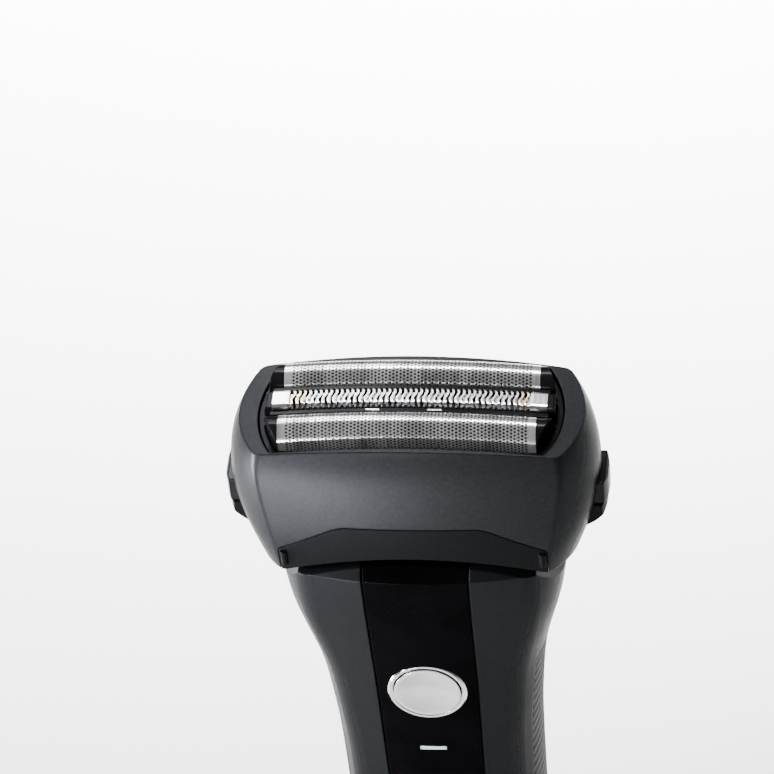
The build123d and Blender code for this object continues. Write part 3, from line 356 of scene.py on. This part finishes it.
def foil(name, yc, body, node):
    """Perforated foil: staggered round-ended holes through a thin arched sheet."""
    top = Z_TOP + FOIL_RISE
    px, py = 0.645, 0.62
    n_col = 67
    s_half = math.pi / 2 * FOIL_R + 2.6
    n_row = int(2 * s_half / py)
    s_half = n_row * py / 2
    x_half = n_col * px / 2
    hx, hy = 0.235, 0.208
    verts, normals, faces, mi = [], [], [], []
    r_in = FOIL_R - FOIL_T

    def add(x, s, inner=False):
        p, n = on_arch(x, s, yc, r_in if inner else FOIL_R, top, FOIL_ARC) if not inner else on_arch(x, s * r_in / FOIL_R if abs(s) < math.pi / 2 * FOIL_R else math.copysign(abs(s) - math.pi / 2 * (FOIL_R - r_in), s), yc, r_in, top, FOIL_ARC)
        verts.append(p)
        normals.append(tuple(-c for c in n) if inner else n)
        return len(verts) - 1

    ring8 = [(-1, -1), (0, -1), (1, -1), (1, 0), (1, 1), (0, 1), (-1, 1), (-1, 0)]
    k = math.sqrt(0.5)
    hole8 = [(-k, -k), (0, -1), (k, -k), (1, 0), (k, k), (0, 1), (-k, k), (-1, 0)]
    for c in range(n_col):
        x0 = -x_half + (c + 0.5) * px
        shift = 0.0 if c % 2 == 0 else py / 2
        lo = -s_half
        # strip ends of the shifted columns are closed by plain half cells
        rows = n_row if c % 2 == 0 else n_row - 1
        if c % 2:
            for s0, s1 in ((lo, lo + py / 2), (-lo - py / 2, -lo)):
                for inner in (False, True):
                    q = [add(x0 - px / 2, s0, inner), add(x0 + px / 2, s0, inner), add(x0 + px / 2, s1, inner), add(x0 - px / 2, s1, inner)]
                    faces.append(tuple(q if not inner else q[::-1]))
                    mi.append(1 if inner else 0)
        for r in range(rows):
            s0 = lo + shift + (r + 0.5) * py
            rings = {}
            for inner in (False, True):
                out = [add(x0 + a * px / 2, s0 + b * py / 2, inner) for a, b in ring8]
                hol = [add(x0 + a * hx, s0 + b * hy, inner) for a, b in hole8]
                for i in range(8):
                    j = (i + 1) % 8
                    q = (out[i], out[j], hol[j], hol[i])
                    faces.append(q if not inner else q[::-1])
                    mi.append(1 if inner else 0)
                rings[inner] = hol
            # hole walls take material 1, the near-black inside of the foil: painted shade in the holes
            for i in range(8):
                j = (i + 1) % 8
                faces.append((rings[False][i], rings[False][j], rings[True][j], rings[True][i]))
                mi.append(1)
    # plain ends and plain legs
    s_end = math.pi / 2 * FOIL_R + FOIL_LEG

    def plain(xa, xb, sa, sb, nx, ns):
        for inner in (False, True):
            g = [[add(xa + (xb - xa) * i / nx, sa + (sb - sa) * j / ns, inner) for j in range(ns + 1)] for i in range(nx + 1)]
            for i in range(nx):
                for j in range(ns):
                    q = (g[i][j], g[i + 1][j], g[i + 1][j + 1], g[i][j + 1])
                    faces.append(q if not inner else q[::-1])
                    mi.append(1 if inner else 0)

    plain(-FOIL_HALF, -x_half, -s_end, s_end, 3, 48)
    plain(x_half, FOIL_HALF, -s_end, s_end, 3, 48)
    plain(-x_half, x_half, -s_end, -s_half, 40, 2)
    plain(-x_half, x_half, s_half, s_end, 40, 2)
    o = make(name, verts, faces, [foil_m, shaded_foil_inside_m], normals, mi)
    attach(o, body)
    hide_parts(node)
    return o


foil("front_foil_sheet", -FOIL_PITCH, "front_foil_unit", "front_foil")
foil("rear_foil_sheet", FOIL_PITCH, "rear_foil_unit", "rear_foil")


def bar(path, w, t, verts, faces, idx, mi, arc_drop):
    """A flat strip of width w and thickness t along a path in Y, Z with an X offset at each point."""
    base = len(verts)
    n = len(path)
    for k, (x, y, z, ny, nz) in enumerate(path):
        z2 = z + arc_drop(x)
        for dx, dn in ((-w / 2, 0), (w / 2, 0), (w / 2, -t), (-w / 2, -t)):
            verts.append((x + dx, y + ny * dn, z2 + nz * dn))
    for k in range(n - 1):
        for i in range(4):
            j = (i + 1) % 4
            a, b = base + 4 * k + i, base + 4 * k + j
            faces.append((a, b, b + 4, a + 4))
            idx.append(mi)
    faces.append(tuple(base + i for i in (3, 2, 1, 0)))
    idx.append(mi)
    faces.append(tuple(base + 4 * (n - 1) + i for i in range(4)))
    idx.append(mi)


def slit_drop(x):
    return math.sqrt(SLIT_ARC ** 2 - x * x) - SLIT_ARC


def channel(n_side=5):
    """Outline of the slit blade's channel from the front leg over the top to the back leg."""
    hw, r = SLIT_W / 2, 0.95
    pts = []
    for z in (-4.2, -3.0, -2.2, -1.7):
        pts.append((-hw, z, -1.0, 0.0))
    for k in range(n_side + 1):
        a = math.pi - k * math.pi / 2 / n_side
        pts.append((-hw + r + r * math.cos(a), -r + r * math.sin(a), math.cos(a), math.sin(a)))
    mid = 10
    for k in range(1, mid):
        y = -hw + r + (2 * hw - 2 * r) * k / mid
        pts.append((y, 0.0, 0.0, 1.0))
    for k in range(n_side + 1):
        a = math.pi / 2 - k * math.pi / 2 / n_side
        pts.append((hw - r + r * math.cos(a), -r + r * math.sin(a), math.cos(a), math.sin(a)))
    for z in (-1.7, -2.2, -3.0, -4.2):
        pts.append((hw, z, 1.0, 0.0))
    return pts


def slit_blade():
    verts, faces, idx = [], [], []
    ch = channel()
    T = 0.28
    x_in = N_SLIT * SLIT_PITCH / 2
    # teeth: bars bent in a shallow zigzag across the top
    for k in range(N_SLIT + 1):
        x = (k - N_SLIT / 2) * SLIT_PITCH
        end = k in (0, N_SLIT)
        mi = 1 if k in (1, 2, 3, N_SLIT - 2, N_SLIT - 1) else 0
        path = []
        for (y, z, ny, nz) in ch:
            if z < -1.0:
                continue
            t = max(-1.0, min(1.0, y / 1.75))
            bend = 0.30 * math.sin(t * math.pi) * (1 - 0.15 * t * t)
            path.append((x + (0 if end else bend), y, Z_TOP + z, ny, nz))
        bar(path, 0.34 if not end else 0.5, T, verts, faces, idx, mi, slit_drop)
    # lower rails that join the teeth, with small lugs at the foot of every tooth
    def rail(sy, x0, x1, z0, z1, mi=0):
        n = 60
        base = len(verts)
        hw = SLIT_W / 2
        for i in range(n + 1):
            x = x0 + (x1 - x0) * i / n
            d = slit_drop(x)
            for (y, z) in ((sy * hw, z0), (sy * hw, z1), (sy * (hw - T), z1), (sy * (hw - T), z0)):
                verts.append((x, y, Z_TOP + z + d))
        for i in range(n):
            for c in range(4):
                a, b = base + 4 * i + c, base + 4 * i + (c + 1) % 4
                faces.append((a, a + 4, b + 4, b) if sy < 0 else (a, b, b + 4, a + 4))
                idx.append(mi)
    rail(-1, -SLIT_HALF, SLIT_HALF, -4.2, -0.95, 2)
    rail(1, -SLIT_HALF, SLIT_HALF, -4.2, -0.95, 2)
    # plain end plates
    for sx in (-1, 1):
        xs = [sx * x_in + sx * (SLIT_HALF - x_in) * i / 4 for i in range(5)]
        base = len(verts)
        outline = [(y, z, ny, nz) for (y, z, ny, nz) in ch if z > -2.3]
        n = len(outline)
        for x in xs:
            d = slit_drop(x)
            for (y, z, ny, nz) in outline:
                verts.append((x, y, Z_TOP + z + d))
            for (y, z, ny, nz) in outline:
                verts.append((x, y - ny * T, Z_TOP + z + d - nz * T))
        st = 2 * n
        for i in range(4):
            for j in range(n - 1):
                a = base + st * i + j
                f = (a, a + st, a + st + 1, a + 1)
                faces.append(f if sx < 0 else f[::-1])
                idx.append(0)
                a += n
                f = (a, a + 1, a + st + 1, a + st)
                faces.append(f if sx < 0 else f[::-1])
                idx.append(0)
        for i in (0, 4):
            for j in range(n - 1):
                a = base + st * i + j
                f = (a, a + 1, a + 1 + n, a + n)
                faces.append(f)
                idx.append(0)
    # small round lugs along the foot of the teeth, front and back
    for k in range(N_SLIT + 1):
        x = (k - N_SLIT / 2) * SLIT_PITCH
        for sy in (-1, 1):
            base = len(verts)
            cx, cy, cz = x, sy * (SLIT_W / 2 - 0.02), Z_TOP - 0.72 + slit_drop(x)
            rr = 0.20
            rings = ((0.0, 1.0), (0.08, 0.8), (0.13, 0.45))
            for (dy, fr) in rings:
                for q in range(8):
                    a = q * math.pi / 4
                    verts.append((cx + rr * fr * math.cos(a), cy + sy * dy, cz + rr * fr * math.sin(a)))
            for ri in range(2):
                for q in range(8):
                    a, b = base + 8 * ri + q, base + 8 * ri + (q + 1) % 8
                    f = (a, b, b + 8, a + 8)
                    faces.append(f if sy < 0 else f[::-1])
                    idx.append(0)
            f = tuple(base + 16 + q for q in range(8))
            faces.append(f if sy < 0 else f[::-1])
            idx.append(0)
    o = make("slit_blade_bars", verts, faces, [slit_m, gold_m, frame_m], None, idx, smooth=False)
    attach(o, "centre_blade_unit")
    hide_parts("slit_blade")


slit_blade()

# smooth shading with crisp edges on the solids
for name, o in NODES.items():
    for p in o.data.polygons:
        p.use_smooth = True
    try:
        o.data.set_sharp_from_angle(angle=math.radians(30))
    except Exception:
        pass

# ------------------------------------------------------------------ floor, backdrop and light
me = bpy.data.meshes.new("floor")
S = 3.0
me.from_pydata([(-S, -S, 0), (S, -S, 0), (S, S, 0), (-S, S, 0)], [], [(0, 1, 2, 3)])
floor = bpy.data.objects.new("floor", me)
bpy.context.scene.collection.objects.link(floor)
fm = Mat("floor_white")
fm.color(fm.ramp(fm.noise(3.0), 0.3, 0.7, (0.90, 0.90, 0.90), (0.93, 0.93, 0.93)))
fm.set(roughness=0.7, specular_ior_level=0.2)
floor.data.materials.append(fm.finish())
floor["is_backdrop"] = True

world = bpy.data.worlds.new("studio")
bpy.context.scene.world = world
world.use_nodes = True
bg = world.node_tree.nodes["Background"]
bg.inputs["Color"].default_value = (1, 1, 1, 1)
bg.inputs["Strength"].default_value = 0.15


def area(name, loc, target, size, power, size_y=None):
    d = bpy.data.lights.new(name, "AREA")
    d.energy = power
    d.size = size
    if size_y:
        d.shape = "RECTANGLE"
        d.size_y = size_y
    o = bpy.data.objects.new(name, d)
    bpy.context.scene.collection.objects.link(o)
    o.location = loc
    o.visible_camera = False
    v = Vector(target) - Vector(loc)
    o.rotation_euler = v.to_track_quat("-Z", "Y").to_euler()
    return o


C = (0, 0, 0.14)
area("key", (-0.58, -0.26, 0.46), C, 0.20, 9.0)
area("near_left", (-0.26, -0.16, 0.20), (-0.03, 0, 0.145), 0.08, 0.25)
area("left_low", (-0.30, -0.055, 0.035), (-0.03, -0.01, 0.145), 0.09, 0.36).data.spread = math.radians(45)
area("front_low", (-0.12, -0.27, 0.035), (-0.01, -0.01, 0.14), 0.12, 0.088, 0.05).data.spread = math.radians(45)
area("back_top", (-0.24, 0.60, 0.72), C, 0.24, 3.0)
area("floor_wash", (0.0, 0.62, 0.90), (0, 0.6199, 0), 0.6, 40.0).data.spread = math.radians(65)

# ------------------------------------------------------------------ camera at the photographed angle
A, E, R = math.radians(9.44), math.radians(44.88), math.radians(6.25)
D, TX, TY, SC = 780.0, 3.95, -1.36, 5.626
right = Vector((math.cos(A), math.sin(A), 0))
up = Vector((-math.sin(A) * math.sin(E), math.cos(A) * math.sin(E), math.cos(E)))
back = Vector((math.sin(A) * math.cos(E), -math.cos(A) * math.cos(E), math.sin(E)))
rr = right * math.cos(R) - up * math.sin(R)
uu = right * math.sin(R) + up * math.cos(R)
P0 = Vector((0, 0, Z_TOP))
loc = P0 + back * D - rr * TX - uu * TY
rot = Matrix((rr, uu, back)).transposed().to_4x4()
cam_d = bpy.data.cameras.new("camera")
cam_d.sensor_width = 36.0
cam_d.lens = SC * D / 774.0 * 36.0
cam_d.clip_start = 0.01
cam = bpy.data.objects.new("camera", cam_d)
bpy.context.scene.collection.objects.link(cam)
cam.matrix_world = Matrix.Translation(loc * MM) @ rot
bpy.context.scene.camera = cam

bounds_now = as_lists(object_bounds())
